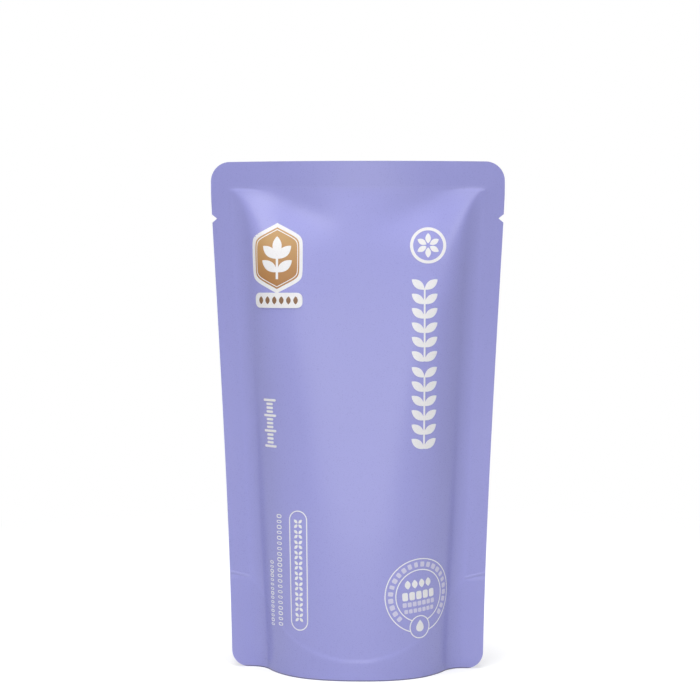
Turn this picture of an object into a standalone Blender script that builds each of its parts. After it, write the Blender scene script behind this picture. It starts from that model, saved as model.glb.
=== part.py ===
"""Stand-up refill pouch: one sealed, filled body of laminate film.

The front and back panels are heat-sealed to each other down both sides and across the top.
A gusset folded up between them at the base is sealed to both along a curved line, and opens
into the oval foot that the pouch stands on. The seals weld all the film into one piece, and
the contents fill it, so the pouch is one closed solid.

Metres, +Z up. The origin is at the middle of the base, with the front panel facing -Y.
The form is worked out on the flat film: u runs across a panel from its middle, and v runs up
it from its base edge. Film doesn't stretch, so a row that bulges draws its side seals inwards.
"""

import math

import bmesh
import bpy
import numpy as np

# The film, as it is cut
FILM_WIDTH = 0.115
FILM_HEIGHT = 0.200
FILM_THICKNESS = 0.0002
TOP_CORNER_RADIUS = 0.0075
BASE_CORNER_RADIUS = 0.0065

# The heat seals down the sides and across the top
SIDE_SEAL_WIDTH = 0.0075
TOP_SEAL_HEIGHT = 0.010

# The tear notches in the side seals
NOTCH_DROP = 0.022
NOTCH_DEPTH = 0.0020
NOTCH_OPENING = 0.0032

# The gusset: its fold at the side seals, and its seal and its film at the middle
GUSSET_FOLD_HEIGHT = 0.036
BASE_SEAL_HEIGHT = 0.0075
GUSSET_MIDDLE_HEIGHT = 0.0125

# How far the film leans out of the side seals at three heights, and the bend beside them
BASE_LEAN = math.radians(61)
MIDDLE_LEAN = math.radians(53.5)
TOP_LEAN = math.radians(34.5)
SIDE_BEND_WIDTH = 0.0075
BASE_BEND_WIDTH = 0.0095
BASE_BLEND_HEIGHT = 0.060

# The shoulder under the top seal: its slope at the middle and at the corners
SHOULDER_SLOPE = 0.174
SHOULDER_CORNER_SLOPE = 0.332
SHOULDER_BEND_HEIGHT = 0.003
SHOULDER_SHARPNESS = 2.83

# The two shallow hollows that the film draws under the top seal
HOLLOW_SHARE = 0.97
HOLLOW_OFFSET = 0.0235
HOLLOW_DROP = 0.0022
HOLLOW_LENGTH = 0.0101
HOLLOW_WIDTH = 0.0060
HOLLOW_TILT = math.radians(39.5)

# The forward bow of the top seal
TOP_BOW = 0.0075
TOP_BOW_REACH = 0.130

# How finely the surface is drawn
ROW_SPACING = 0.0075
SHOULDER_ROW_SPACING = 0.0036
SHOULDER_REACH = 0.040
COLUMN_SPACING = 0.0038
CORNER_STEPS = 4
ARCH_STEPS = 10
CUTTER_DROP = 0.003

FILM_COLOUR = (0.392, 0.389, 0.741, 1.0)
FILM_ROUGHNESS = 0.42


def smooth(t):
    """An eased step from 0 to 1."""
    t = np.clip(t, 0.0, 1.0)
    return t * t * (3.0 - 2.0 * t)


def seal_line():
    """Height of the top seal's lower edge."""
    return FILM_HEIGHT - TOP_SEAL_HEIGHT


def panel_half_width():
    """Half the width of the film between the side seals."""
    return FILM_WIDTH / 2 - SIDE_SEAL_WIDTH


def outline_half_width(v):
    """Half width of the cut film at height v, with its round corners and tear notches."""
    half = FILM_WIDTH / 2
    above = v - (FILM_HEIGHT - TOP_CORNER_RADIUS)
    below = BASE_CORNER_RADIUS - v
    for reach, radius in ((above, TOP_CORNER_RADIUS), (below, BASE_CORNER_RADIUS)):
        if reach > 0:
            half += math.sqrt(max(radius**2 - reach**2, 0.0)) - radius
    off_notch = abs(v - (FILM_HEIGHT - NOTCH_DROP)) / (NOTCH_OPENING / 2)
    return half - NOTCH_DEPTH * max(1.0 - off_notch, 0.0)


def across_gusset(u, middle):
    """A height that rises from its middle value to the gusset's fold at the side seals."""
    share = np.clip(np.abs(u) / panel_half_width(), 0.0, 1.0)
    return middle + (GUSSET_FOLD_HEIGHT - middle) * share**2


def film_layers(u, v):
    """Layers of film under the outer face: the gusset backs each panel below its seal line."""
    backed = (across_gusset(u, BASE_SEAL_HEIGHT) - v) / (4 * FILM_THICKNESS) + 0.5
    return 1.0 + smooth(backed)


def lean_angle(v):
    """Angle of the film where it leaves the side seals, a curve through its three values."""
    h = np.clip(v / seal_line(), 0.0, 1.0)
    low = BASE_LEAN * (1 - h) * (1 - 2 * h)
    middle = 4 * MIDDLE_LEAN * h * (1 - h)
    return low + middle + TOP_LEAN * h * (2 * h - 1)


def side_profile(u, v):
    """How far a row stands out between its side seals: an arc, with a reverse bend into each."""
    foot = 1.0 - smooth(v / BASE_BLEND_HEIGHT)
    bend = SIDE_BEND_WIDTH + (BASE_BEND_WIDTH - SIDE_BEND_WIDTH) * foot
    arc = panel_half_width() - bend
    lean = lean_angle(v)
    on_arc = np.minimum(np.abs(u) / arc, 1.0)
    on_bend = np.clip((arc + bend - np.abs(u)) / bend, 0.0, 1.0)
    rise = arc / lean * (np.cos(lean * on_arc) - math.cos(lean))
    return rise + bend / lean * (1.0 - np.cos(lean * on_bend))


def shoulder_profile(u, v):
    """How far the film may stand out at a distance below the top seal."""
    drop = max(seal_line() - v, 0.0)
    share = np.clip(np.abs(u) / panel_half_width(), 0.0, 1.0)
    slope = SHOULDER_SLOPE + (SHOULDER_CORNER_SLOPE - SHOULDER_SLOPE) * share**2
    return slope * drop**2 / (drop + SHOULDER_BEND_HEIGHT)


def hollow(u, v):
    """Share by which the two slanting hollows under the top seal flatten the film."""
    side = np.abs(u) - HOLLOW_OFFSET
    drop = (seal_line() - v) - HOLLOW_DROP
    along = side * math.cos(HOLLOW_TILT) - drop * math.sin(HOLLOW_TILT)
    across = side * math.sin(HOLLOW_TILT) + drop * math.cos(HOLLOW_TILT)
    spread = (along / HOLLOW_LENGTH) ** 2 + (across / HOLLOW_WIDTH) ** 2
    return HOLLOW_SHARE * np.exp(-spread / 2)


def half_gap(u, v):
    """Half the distance between the two panels' inner faces."""
    side = side_profile(u, v)
    shoulder = shoulder_profile(u, v)
    gap = np.zeros_like(side)
    open_film = (side > 1e-9) & (shoulder > 1e-9)
    power = -SHOULDER_SHARPNESS
    both = side[open_film] ** power + shoulder[open_film] ** power
    gap[open_film] = both ** (1 / power)
    return gap * (1.0 - hollow(u, v))


def film_row(u, v):
    """Across one row of film: where it is along X, its half gap, and its bow along Y."""
    gap = half_gap(u, v)
    steps = np.sqrt(np.maximum(np.diff(u) ** 2 - np.diff(gap) ** 2, 0.0))
    x = np.concatenate([[0.0], np.cumsum(steps)])
    x -= x[-1] / 2
    height = smooth((v - FILM_HEIGHT + TOP_BOW_REACH) / TOP_BOW_REACH)
    bow = -TOP_BOW * height * (1.0 - (2 * u / FILM_WIDTH) ** 2)
    return x, gap, bow


def columns(v):
    """Places across the film at height v, from the left edge to the right."""
    edge = outline_half_width(v)
    inner = min(panel_half_width(), edge - 0.3 * SIDE_SEAL_WIDTH)
    count = max(round(panel_half_width() / COLUMN_SPACING), 6)
    half = [inner * i / count for i in range(1, count + 1)]
    half.insert(-1, inner - inner / count / 2)
    half += [inner + 0.6 * (edge - inner), edge]
    return np.array([-u for u in reversed(half)] + [0.0] + half)


def rows():
    """Heights of the rows of film: the outline's own heights, with even ones between."""
    turn = [1 - math.cos(math.pi / 2 * i / CORNER_STEPS) for i in range(CORNER_STEPS + 1)]
    keys = [BASE_CORNER_RADIUS * t for t in turn]
    keys += [FILM_HEIGHT - TOP_CORNER_RADIUS * t for t in turn]
    notch = FILM_HEIGHT - NOTCH_DROP
    keys += [notch - NOTCH_OPENING / 2, notch, notch + NOTCH_OPENING / 2]
    keys += [GUSSET_FOLD_HEIGHT - 2 * FILM_THICKNESS, GUSSET_FOLD_HEIGHT + 2 * FILM_THICKNESS]
    keys += [seal_line(), seal_line() - SHOULDER_BEND_HEIGHT / 2]
    keys = sorted(keys)
    heights = [keys[0]]
    for low, high in zip(keys, keys[1:]):
        near_top = high > seal_line() - SHOULDER_REACH
        spacing = SHOULDER_ROW_SPACING if near_top else ROW_SPACING
        count = max(round((high - low) / spacing), 1)
        if high - low > FILM_THICKNESS / 2:
            heights += [low + (high - low) * i / count for i in range(1, count + 1)]
    return heights


def mesh_object(name, make):
    """An object whose mesh the given function draws, with its faces turned outwards."""
    mesh = bpy.data.meshes.new(name)
    drawing = bmesh.new()
    make(drawing)
    bmesh.ops.recalc_face_normals(drawing, faces=drawing.faces)
    drawing.to_mesh(mesh)
    drawing.free()
    made = bpy.data.objects.new(name, mesh)
    bpy.context.scene.collection.objects.link(made)
    return made


def bridge(drawing, first, second):
    """Faces between two closed loops of as many vertices."""
    for i in range(len(first)):
        k = (i + 1) % len(first)
        drawing.faces.new((first[i], first[k], second[k], second[i]))


def close_strip(drawing, loop):
    """Closes a loop whose first half faces its second half, as a strip of faces."""
    count = len(loop) // 2
    for i in range(count - 1):
        drawing.faces.new((loop[i], loop[i + 1], loop[-2 - i], loop[-1 - i]))


def draw_filled_body(drawing):
    """The front and back panels as one stack of rows, closed at the base and the top edge."""
    loops = []
    for v in rows():
        u = columns(v)
        x, gap, bow = film_row(u, v)
        reach = gap + FILM_THICKNESS * film_layers(u, v)
        front = [(x[i], bow[i] - reach[i], v) for i in range(len(u))]
        back = [(x[i], bow[i] + reach[i], v) for i in reversed(range(len(u)))]
        loops.append([drawing.verts.new(point) for point in front + back])
    for lower, upper in zip(loops, loops[1:]):
        bridge(drawing, lower, upper)
    close_strip(drawing, loops[0])
    close_strip(drawing, loops[-1])


def foot_columns():
    """Places across the base where the two panels stand apart."""
    u = columns(BASE_CORNER_RADIUS)
    return [i for i in range(len(u)) if half_gap(u, 0.0)[i] > 2 * FILM_THICKNESS]


def draw_gusset_recess(drawing):
    """The space under the gusset, as sections across the foot: up one skirt, over the
    sagging gusset, and down the other skirt."""
    u = columns(BASE_CORNER_RADIUS)
    loops = []
    for i in foot_columns():
        seal = float(across_gusset(u[i], BASE_SEAL_HEIGHT))
        ridge = float(across_gusset(u[i], GUSSET_MIDDLE_HEIGHT))
        wall = [(-CUTTER_DROP, 0.0)] + [(seal * k / 3, seal * k / 3) for k in range(4)]
        skirt = []
        for z, v in wall:
            x, gap, _ = film_row(u, v)
            skirt.append((x[i], gap[i], z))
        x_top, gap_top, _ = skirt[-1]
        arch = []
        for k in range(1, ARCH_STEPS):
            across = 2 * k / ARCH_STEPS - 1
            z = seal + (ridge - seal) * (1 - across**2)
            arch.append((x_top, gap_top * across, z))
        section = [(x, -gap, z) for x, gap, z in skirt] + arch
        section += [(x, gap, z) for x, gap, z in reversed(skirt)]
        loops.append([drawing.verts.new(point) for point in section])
    for left, right in zip(loops, loops[1:]):
        bridge(drawing, left, right)
    drawing.faces.new(loops[0])
    drawing.faces.new(loops[-1])


def film_material():
    """Matt printed laminate."""
    made = bpy.data.materials.new("film")
    made.use_nodes = True
    shader = made.node_tree.nodes["Principled BSDF"]
    shader.inputs["Base Color"].default_value = FILM_COLOUR
    shader.inputs["Roughness"].default_value = FILM_ROUGHNESS
    shader.inputs["Metallic"].default_value = 0.0
    return made


def build():
    for old in list(bpy.data.objects):
        bpy.data.objects.remove(old)
    pouch = mesh_object("pouch", draw_filled_body)
    pouch.data.materials.append(film_material())
    pouch.data.shade_smooth()
    pouch.data.set_sharp_from_angle(angle=math.radians(40))
    recess = mesh_object("gusset_recess", draw_gusset_recess)
    recess.hide_render = True
    recess.display_type = "WIRE"
    cut = pouch.modifiers.new("gusset_recess", "BOOLEAN")
    cut.operation = "DIFFERENCE"
    cut.object = recess


build()
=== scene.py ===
"""Dresses the stand-up refill pouch: its filled film, the print on it and a plain stage.

Lengths are metres. A place on the film is (u, v): u runs across the flat panel from its
middle, and v runs up it from its base edge. The front panel faces -Y.
"""
import math
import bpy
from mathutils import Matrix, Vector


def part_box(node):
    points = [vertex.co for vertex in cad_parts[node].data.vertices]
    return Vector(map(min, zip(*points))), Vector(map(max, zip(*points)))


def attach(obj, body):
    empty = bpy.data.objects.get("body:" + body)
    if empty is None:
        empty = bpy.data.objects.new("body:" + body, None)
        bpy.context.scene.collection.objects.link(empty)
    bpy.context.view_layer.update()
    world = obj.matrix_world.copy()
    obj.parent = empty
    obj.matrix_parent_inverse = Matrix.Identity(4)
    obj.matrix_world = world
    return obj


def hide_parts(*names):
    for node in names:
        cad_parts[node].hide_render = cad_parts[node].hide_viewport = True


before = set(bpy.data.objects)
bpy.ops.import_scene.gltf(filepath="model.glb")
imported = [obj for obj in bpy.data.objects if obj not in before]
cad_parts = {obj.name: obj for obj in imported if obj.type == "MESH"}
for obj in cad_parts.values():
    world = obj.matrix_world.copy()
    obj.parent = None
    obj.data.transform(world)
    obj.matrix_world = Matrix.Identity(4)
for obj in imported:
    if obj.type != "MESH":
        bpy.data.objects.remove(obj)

from types import SimpleNamespace

import bmesh
import bpy
from bpy.props import FloatProperty, FloatVectorProperty, IntProperty, PointerProperty
from mathutils import Matrix, Vector

bl_info = {
    "name": "Refill pouch",
    "version": (1, 0, 0),
    "blender": (4, 5, 0),
    "location": "3D Viewport > Sidebar > Pouch",
    "description": "Makes a filled stand-up pouch, its print and a stage to show it on",
    "category": "Object",
}

POUCH_LOW, POUCH_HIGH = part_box("pouch")
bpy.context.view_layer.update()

# The film's map: a panel lies above the first height, the gusset and the skirt below the second
FILM_MAP_BASE = 0.2
GUSSET_MAP_TOP = 0.19
MAP_GAP = 0.005

# The film's mesh: how many columns lie on the side seals, and how narrow those may become
SEAL_COLUMN_SHARE = 0.08
SEAL_COLUMN_LEAST = 0.3
WELD_DISTANCE = 0.000002
FILM_EDGE = math.radians(50)
INK_EDGE = math.radians(40)

# Film thicknesses: how softly a second layer begins, and between which gaps the skirt opens
LAYER_BLEND = 2
SKIRT_OPENING = (2, 8)

# Shapes of the print, as shares of the sizes that they belong to. The drop's peak is what makes
# its widest place as wide as its width says
PETAL_POWER = 0.8
DROP_FOOT = 0.4
DROP_PEAK = 2.6
BADGE_SLOPE = 1.9
BADGE_SHARPNESS = 7
BADGE_TIP_INSET = 1.3
SPRIG_FOOT = 0.30
SPRIG_STEM = 0.34
SPRIG_LEAF = (0.27, 0.18)
SPRIG_PAIRS = ((0.30, 52), (0.86, 48))
GAUGE_TICKS = {"short": (0.55, 13), "long": (1.0, 4)}
PLATE_CORNER = 0.36
PLATE_SPREAD = 0.36
PLATE_PETAL = (0.52, 0.30)
PLATE_PETALS = 6
FLOWER_PETAL = (0.62, 0.34)
FLOWER_EYE = 0.12
FLOWER_PETALS = 6
LEAF_TURN = math.radians(52)
GARLAND_PAIRS = 6
CAPSULE_END = 0.7
CAPSULE_BLOSSOMS = 10
BLOSSOM_PETALS = 4
LOOP_LINES = (("caption", 21, 4), ("note", 15, 9))
LOOP_WIDTH = 0.62
LOOP_SHORTEST = 0.6
CELL_CORNER = 0.2
CELL_WIDTH = 0.8
ROUND_STEPS = 16
SIDE_STEPS = 40
STAMP_SQUARES = 22
SQUARE_SHORTEST = 0.7
SQUARE_SEED = 3
STAMP_RUN = (math.radians(-38), math.radians(263))
STAMP_TILT = math.radians(4.5)
STAMP_SHIFT = -0.00065

# Rows in the stamp, leaves in the first and bars in the others: rise over its middle, then
# height, number, spread and ink of the marks
STAMP_ROWS = (
    (0.0048, 0.0034, 4, 0.0118, "white"),
    (0.0003, 0.0032, 5, 0.0144, "white"),
    (-0.0029, 0.0018, 7, 0.0144, "pale"),
    (-0.0055, 0.0016, 7, 0.0134, "pale"),
)

# Lamps: turn round the pouch from its front, rise in degrees, and the stage's size and power
LAMPS = {
    "top": (0, 80, "lamp_size", "top"),
    "high_left": (-50, 70, "lamp_size", "high_left"),
    "high_right": (50, 70, "lamp_size", "high_right"),
    "low_front": (0, 5, "lamp_size", "low_front"),
    "left_gleam": (-20, 25, "gleam_size", "left_gleam"),
    "right_gleam": (28, 21, "gleam_size", "right_gleam"),
    "middle_gleam": (0, 27, "gleam_size", "middle_gleam"),
    "low_gleam": (0, 2, "gleam_size", "low_gleam"),
    "rear_left": (-150, 50, "lamp_size", "rear"),
    "rear_right": (150, 50, "lamp_size", "rear"),
}
SENSOR_WIDTH = 36.0
NEAREST_SEEN = 0.01
FLOOR_FADE_START = 0.5

# The seals' relief, in widths of the seals' soft edge. The swell begins, is full, starts to fall
# and ends at these heights over the top seal's edge, on this share of the way to the side seal
BASE_RIDGE_SHARE = 0.25
SWELL_HEIGHTS = (-20.0, -4.0, -2.2, 0.0)
SWELL_START = (0.70, 0.90)
CREASE_FLAT = 0.2
CREASE_START = -2.0
# Softness of the painted contact shadow along the base edge, as a share of its width
BASE_SHADE_SOFTNESS = 0.3

# Noise of the laminate: the property that sizes each layer, and its detail
GRAIN_LAYERS = {
    "Grain": ("grain_size", 3.0),
    "Patches": ("patch_size", 1.0),
    "Ripples": ("ripple_size", 1.0),
}
WHITE = (1, 1, 1, 1)
TINY = 1e-9

# Properties that a material hands to its shader groups
PLACE_KEYS = ("film_width", "film_height")
SEAL_KEYS = ("film_width", "film_height", "side_seal", "top_seal", "base_seal", "gusset_fold")
EDGE_KEYS = ("seal_edge", "crease_rise", "crease_slant", "base_shade_width")
GRAIN_KEYS = tuple(key for key, _ in GRAIN_LAYERS.values())


# Sizes and colours


def length(name, default, description):
    """A length that a user may change."""
    return FloatProperty(
        name=name, description=description, default=default, unit="LENGTH", precision=5
    )


def angle(name, degrees, description):
    """An angle that a user may change."""
    return FloatProperty(
        name=name, description=description, default=math.radians(degrees), subtype="ANGLE"
    )


def number(name, default, description):
    """A plain number that a user may change."""
    return FloatProperty(name=name, description=description, default=default, precision=4)


def place(name, default, description):
    """A place on the flat film that a user may change."""
    return FloatVectorProperty(
        name=name, description=description, default=default, size=2, subtype="XYZ", unit="LENGTH"
    )


def colour(name, default, description):
    """A colour that a user may change."""
    return FloatVectorProperty(
        name=name, description=description, default=default, size=4, subtype="COLOR", min=0, max=1
    )


class PouchForm(bpy.types.PropertyGroup):
    """Sizes of the flat film, and of the form that it takes when it is filled."""

    film_width: length("Film width", POUCH_HIGH.x - POUCH_LOW.x, "Width of the cut film")
    film_height: length("Film height", POUCH_HIGH.z, "Height of the cut film")
    film_thickness: length("Film thickness", 0.0002, "Thickness of one layer of laminate")
    top_radius: length("Top corner radius", 0.0075, "Radius of the upper corners")
    base_radius: length("Base corner radius", 0.0065, "Radius of the lower corners")
    side_seal: length("Side seal width", 0.0075, "Width of the heat seal down each side")
    top_seal: length("Top seal height", 0.010, "Height of the heat seal across the top")
    notch_drop: length("Notch drop", 0.022, "How far the tear notches lie below the top")
    notch_depth: length("Notch depth", 0.0020, "Depth of the tear notches")
    notch_opening: length("Notch opening", 0.0032, "Width of the tear notches at the edge")
    gusset_fold: length("Gusset fold height", 0.036, "Height of the gusset's fold at the sides")
    base_seal: length("Base seal height", 0.0075, "Height of the gusset's seal at the middle")
    gusset_middle: length("Gusset middle height", 0.0125, "Height of the gusset at its middle")
    base_lean: angle("Base lean", 61, "Angle of the film out of the side seals at the foot")
    middle_lean: angle("Middle lean", 53.5, "Angle of the film out of the side seals half-way up")
    top_lean: angle("Top lean", 34.5, "Angle of the film out of the side seals at the top")
    side_bend: length("Side bend width", 0.0075, "Width of the bend beside the side seals")
    base_bend: length("Base bend width", 0.0095, "Width of the same bend at the foot")
    base_blend: length("Base blend height", 0.060, "Height at which the foot's form ends")
    shoulder_slope: number("Shoulder slope", 0.174, "Slope under the top seal at the middle")
    corner_slope: number("Corner slope", 0.332, "Slope under the top seal at the corners")
    shoulder_bend: length("Shoulder bend height", 0.003, "Height of the bend under the top seal")
    shoulder_sharpness: number("Shoulder sharpness", 2.83, "How tightly the shoulder turns")
    hollow_share: number("Hollow share", 0.97, "How far the two hollows flatten the film")
    hollow_offset: length("Hollow offset", 0.0235, "Distance of each hollow from the middle")
    hollow_drop: length("Hollow drop", 0.0022, "Distance of the hollows below the top seal")
    hollow_length: length("Hollow length", 0.0101, "Reach of a hollow along its valley")
    hollow_width: length("Hollow width", 0.0060, "Reach of a hollow across its valley")
    hollow_tilt: angle("Hollow tilt", 39.5, "Slant of the hollows")
    top_bow: length("Top bow", 0.0075, "How far the middle of the top seal bows forwards")
    bow_reach: length("Bow reach", 0.130, "Height over which that bow fades out")


class PouchMesh(bpy.types.PropertyGroup):
    """How finely the film is drawn."""

    panel_columns: IntProperty(name="Columns", default=140, description="Columns of a panel")
    panel_rows: IntProperty(name="Rows", default=262, description="Rows of a panel")
    corner_rows: IntProperty(name="Corner rows", default=12, description="Rows of a corner's arc")
    arch_rows: IntProperty(name="Arch rows", default=18, description="Rows of half the gusset")
    skirt_rows: IntProperty(name="Skirt rows", default=8, description="Rows inside the skirt")


class PouchFinish(bpy.types.PropertyGroup):
    """Colours of the film and its inks, and the grain of the matt laminate."""

    film: colour("Film", (0.400, 0.405, 0.832, 1), "Printed lilac of the panels")
    # The seal's darker lilac is partly the pressed film's own tone and partly painted shade
    seal: colour("Seal", (0.388, 0.393, 0.812, 1), "Lilac of the pressed heat seals")
    gusset: colour("Gusset", (0.400, 0.405, 0.832, 1), "Lilac of the gusset")
    white_top: colour("White ink", (0.98, 0.965, 0.975, 1), "White print")
    white_base: colour("White ink, low", (0.985, 0.98, 1.0, 1), "White print lower down")
    gold_top: colour("Gold, top", (0.66, 0.40, 0.17, 1), "Gold print at the top of the badge")
    gold_base: colour("Gold, base", (0.50, 0.24, 0.085, 1), "Gold print at its lower end")
    pale: colour("Pale ink", (0.75, 0.73, 0.94, 1), "Pale small print of the round stamp")
    brown: colour("Brown ink", (0.30, 0.165, 0.085, 1), "Brown print on the white plate")
    roughness: number("Roughness", 0.28, "Roughness of the matt laminate")
    gold_roughness: number("Gold roughness", 0.38, "Roughness of the gold ink")
    roughness_spread: number("Roughness spread", 0.06, "How far the grain varies the roughness")
    grain_size: length("Grain size", 0.0004, "Size of the laminate's fine grain")
    grain_depth: length("Grain depth", 0.000002, "Depth of that grain")
    patch_size: length("Patch size", 0.03, "Size of the laminate's slow unevenness")
    patch_tone: number("Patch tone", 0.03, "How much paler the uneven patches are")
    ripple_size: length("Ripple size", 0.011, "Size of the slack film's slow ripples")
    ripple_depth: length("Ripple depth", 0.00016, "Depth of those ripples")
    seal_edge: length("Seal edge", 0.0008, "Width over which a pressed seal begins")
    ridge_depth: length("Ridge depth", 0.0000135, "Height of the seals' fine ridge")
    # Painted highlight: the seals' fine ridge is mixed paler, as where it catches light
    ridge_highlight: number("Ridge highlight", 0.018, "How much paler that ridge is")
    corner_depth: length("Corner depth", 0.000117, "Height of the swell under the seal's ends")
    crease_depth: length("Crease depth", 0.00009, "Height of the gusset's crease in the seals")
    # Painted highlight: the crease is mixed paler, as where its fold catches light
    crease_highlight: number("Crease highlight", 0.042, "How much paler the crease is")
    crease_rise: length("Crease rise", 0.0021, "Height of the crease's outer end over the fold")
    crease_slant: number("Crease slant", 0.24, "Slope at which the crease falls inwards")
    # A painted contact shadow: a dark band mixed along the film's base edge, where it meets the
    # floor
    base_shade_width: length("Base shade width", 0.0004, "Width of the dark line along the film's base edge")
    base_shade_tone: colour("Base shade tone", (0.10, 0.09, 0.16, 1), "Colour of that line")
    edge_share: number("Base shade share", 0.8, "How strongly that line shows")
    ink_patch_size: length("Ink patch size", 0.0075, "Size of the unevenness in the ink")
    ink_patch_tone: number("Ink patch tone", 0.3, "How far it shifts an ink's colour")
    ink_spread: number("Ink roughness spread", 0.1, "How far the ink's grain varies its roughness")


class PouchPrint(bpy.types.PropertyGroup):
    """Places of the print on the flat film, as (u, v) centres, and its sizes."""

    ink_step: length("Ink step", 0.00003, "Height of each layer of ink over the one below")
    ink_body: length("Ink body", 0.00006, "Thickness of the ink")
    badge: place("Badge", (-0.0308, 0.1625), "Middle of the gold badge")
    badge_width: length("Badge width", 0.0200, "Width of the badge's white rim")
    badge_height: length("Badge height", 0.0272, "Height of the badge's white rim")
    badge_rim: length("Badge rim", 0.0013, "Distance of the gold from the badge's edge")
    badge_line: length("Badge line", 0.0018, "Distance of the fine white line from the edge")
    badge_field: length("Badge field", 0.0021, "Distance of the inner gold from the edge")
    sprig_line: length("Sprig line", 0.0009, "Width of the sprig's stem")
    plate: place("Plate", (-0.0304, 0.1462), "Middle of the white plate under the badge")
    plate_width: length("Plate width", 0.0192, "Width of that plate")
    plate_height: length("Plate height", 0.0059, "Height of that plate")
    flower: place("Flower", (0.0276, 0.1674), "Middle of the flower in its ring")
    flower_radius: length("Flower radius", 0.0064, "Radius of the flower's ring")
    flower_line: length("Flower line", 0.0012, "Width of the flower's ring")
    garland: place("Garland", (0.0263, 0.1543), "Top of the garland of leaves")
    garland_length: length("Garland length", 0.0315, "Length of each part of the garland")
    garland_gap: length("Garland gap", 0.0022, "Gap between its two parts")
    leaf_length: length("Leaf length", 0.0063, "Length of a leaf of the garland")
    leaf_width: length("Leaf width", 0.0031, "Width of a leaf of the garland")
    stem_line: length("Stem line", 0.0007, "Width of the garland's stem")
    gauge: place("Gauge", (-0.0348, 0.0984), "Middle of the fill gauge")
    gauge_height: length("Gauge height", 0.0180, "Height of the fill gauge")
    gauge_tick: length("Gauge tick", 0.0062, "Length of the gauge's long ticks")
    gauge_line: length("Gauge line", 0.00095, "Width of the gauge's ticks")
    gauge_round: length("Gauge round", 0.00045, "Radius of the ticks' corners")
    capsule: place("Capsule", (-0.0225, 0.0418), "Middle of the upright capsule")
    capsule_width: length("Capsule width", 0.0071, "Width of the capsule")
    capsule_height: length("Capsule height", 0.0462, "Height of the capsule")
    capsule_turn: angle("Capsule turn", 0.45, "Turn of the capsule to the left")
    blossom_petal: length("Blossom petal", 0.0020, "Length of a blossom's petals")
    blossom_width: length("Blossom width", 0.00115, "Width of a blossom's petals")
    blossom_eye: length("Blossom eye", 0.0003, "Distance of the petals from the middle")
    fine_line: length("Fine line", 0.00042, "Width of the finest printed lines")
    caption: place("Caption", (-0.03135, 0.0411), "Middle of the longer line of loops")
    caption_height: length("Caption height", 0.0424, "Height of the longer line of loops")
    caption_loop: length("Caption loop", 0.0021, "Length of a loop in the longer line")
    caption_turn: angle("Caption turn", 0.4, "Turn of the longer line to the right")
    note: place("Note", (-0.0362, 0.0314), "Middle of the shorter line of loops")
    note_height: length("Note height", 0.0246, "Height of the shorter line of loops")
    note_loop: length("Note loop", 0.0018, "Length of a loop in the shorter line")
    note_turn: angle("Note turn", 1.2, "Turn of the shorter line to the right")
    stamp: place("Stamp", (0.0256, 0.0323), "Middle of the round stamp")
    stamp_radius: length("Stamp radius", 0.0143, "Radius of the stamp's outer ring")
    stamp_inner: length("Stamp inner radius", 0.0101, "Radius of the stamp's inner ring")
    stamp_square: length("Stamp square", 0.0020, "Side of the squares between the two rings")
    drop_radius: length("Drop radius", 0.0043, "Radius of the small ring round the drop")
    drop_length: length("Drop length", 0.0046, "Length of the drop")
    drop_width: length("Drop width", 0.0034, "Width of the drop")


class PouchStage(bpy.types.PropertyGroup):
    """Lamps, floor and camera of the stage."""

    world: number("World", 0.02, "Strength of the soft light from all round")
    top: number("Top lamp", 13.2, "Power of the main lamp, above and a little in front")
    high_left: number("High left lamp", 2.8, "Power of the lamp high on the left")
    high_right: number("High right lamp", 0.5, "Power of the lamp high on the right")
    low_front: number("Low front lamp", 0.75, "Power of the lamp at the camera's height")
    left_gleam: number("Left gleam lamp", 1.35, "Power of the small lamp in front on the left")
    right_gleam: number("Right gleam lamp", 0.95, "Power of the small lamp in front on the right")
    middle_gleam: number("Middle gleam lamp", 0.25, "Power of the small lamp in front")
    low_gleam: number("Low gleam lamp", 0.55, "Power of the small lamp low in front")
    rear: number("Rear lamps", 3.1, "Power of each of the two lamps behind")
    lamp_size: length("Lamp size", 0.5, "Width of each broad lamp")
    gleam_size: length("Gleam lamp size", 0.25, "Width of the small lamps that gleam on the film")
    lamp_distance: length("Lamp distance", 1.2, "Distance of each lamp from the pouch")
    lamp_aim: FloatVectorProperty(
        name="Lamp aim", description="Point the lamps are turned to", default=(0.0, 0.0, 0.1),
        size=3, subtype="TRANSLATION",
    )
    floor_glow: number("Floor glow", 0.38, "What is added to the floor as the camera sees it")
    floor_colour: colour("Floor", (0.60, 0.60, 0.60, 1), "Colour of the floor near the pouch")
    floor_size: length("Floor size", 6.0, "Half the width of the floor")
    shadow_reach: length("Shadow reach", 0.40, "Distance at which the floor is plain white")
    camera_place: FloatVectorProperty(
        name="Camera", description="Place of the camera", default=(0.0195, -0.6114, 0.1619),
        size=3, subtype="TRANSLATION",
    )
    camera_aim: FloatVectorProperty(
        name="Aim", description="Point the camera looks at", default=(-0.0029, 0.0, 0.1264),
        size=3, subtype="TRANSLATION",
    )
    lens: FloatProperty(name="Lens", description="Focal length in mm", default=80.06)


def labels_of(group, keys=None):
    """The plain names of a group's properties, by their keys."""
    entries = group.__annotations__
    return {key: entries[key].keywords["name"] for key in keys or entries}


def defaults_of(group, keys):
    """Names and defaults of a group's properties, for the inputs that follow them."""
    entries = group.__annotations__
    return [(entries[key].keywords["name"], entries[key].keywords["default"]) for key in keys]


def values_of(kept, keys=None):
    """What a scene's property group holds, by plain names."""
    return {label: getattr(kept, key) for key, label in labels_of(type(kept), keys).items()}


# Fields: sums in node trees, written as arithmetic


def feed(tree, value, socket):
    """Joins a field to a socket, or sets the socket to a plain value."""
    if isinstance(value, Field):
        tree.links.new(value.socket, socket)
    else:
        socket.default_value = value


def both_ways(operation):
    """Two methods for a sum of two values: with the field first, and with it second."""
    return (lambda field, other: field.math(operation, field, other),
            lambda field, other: field.math(operation, other, field))


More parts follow.
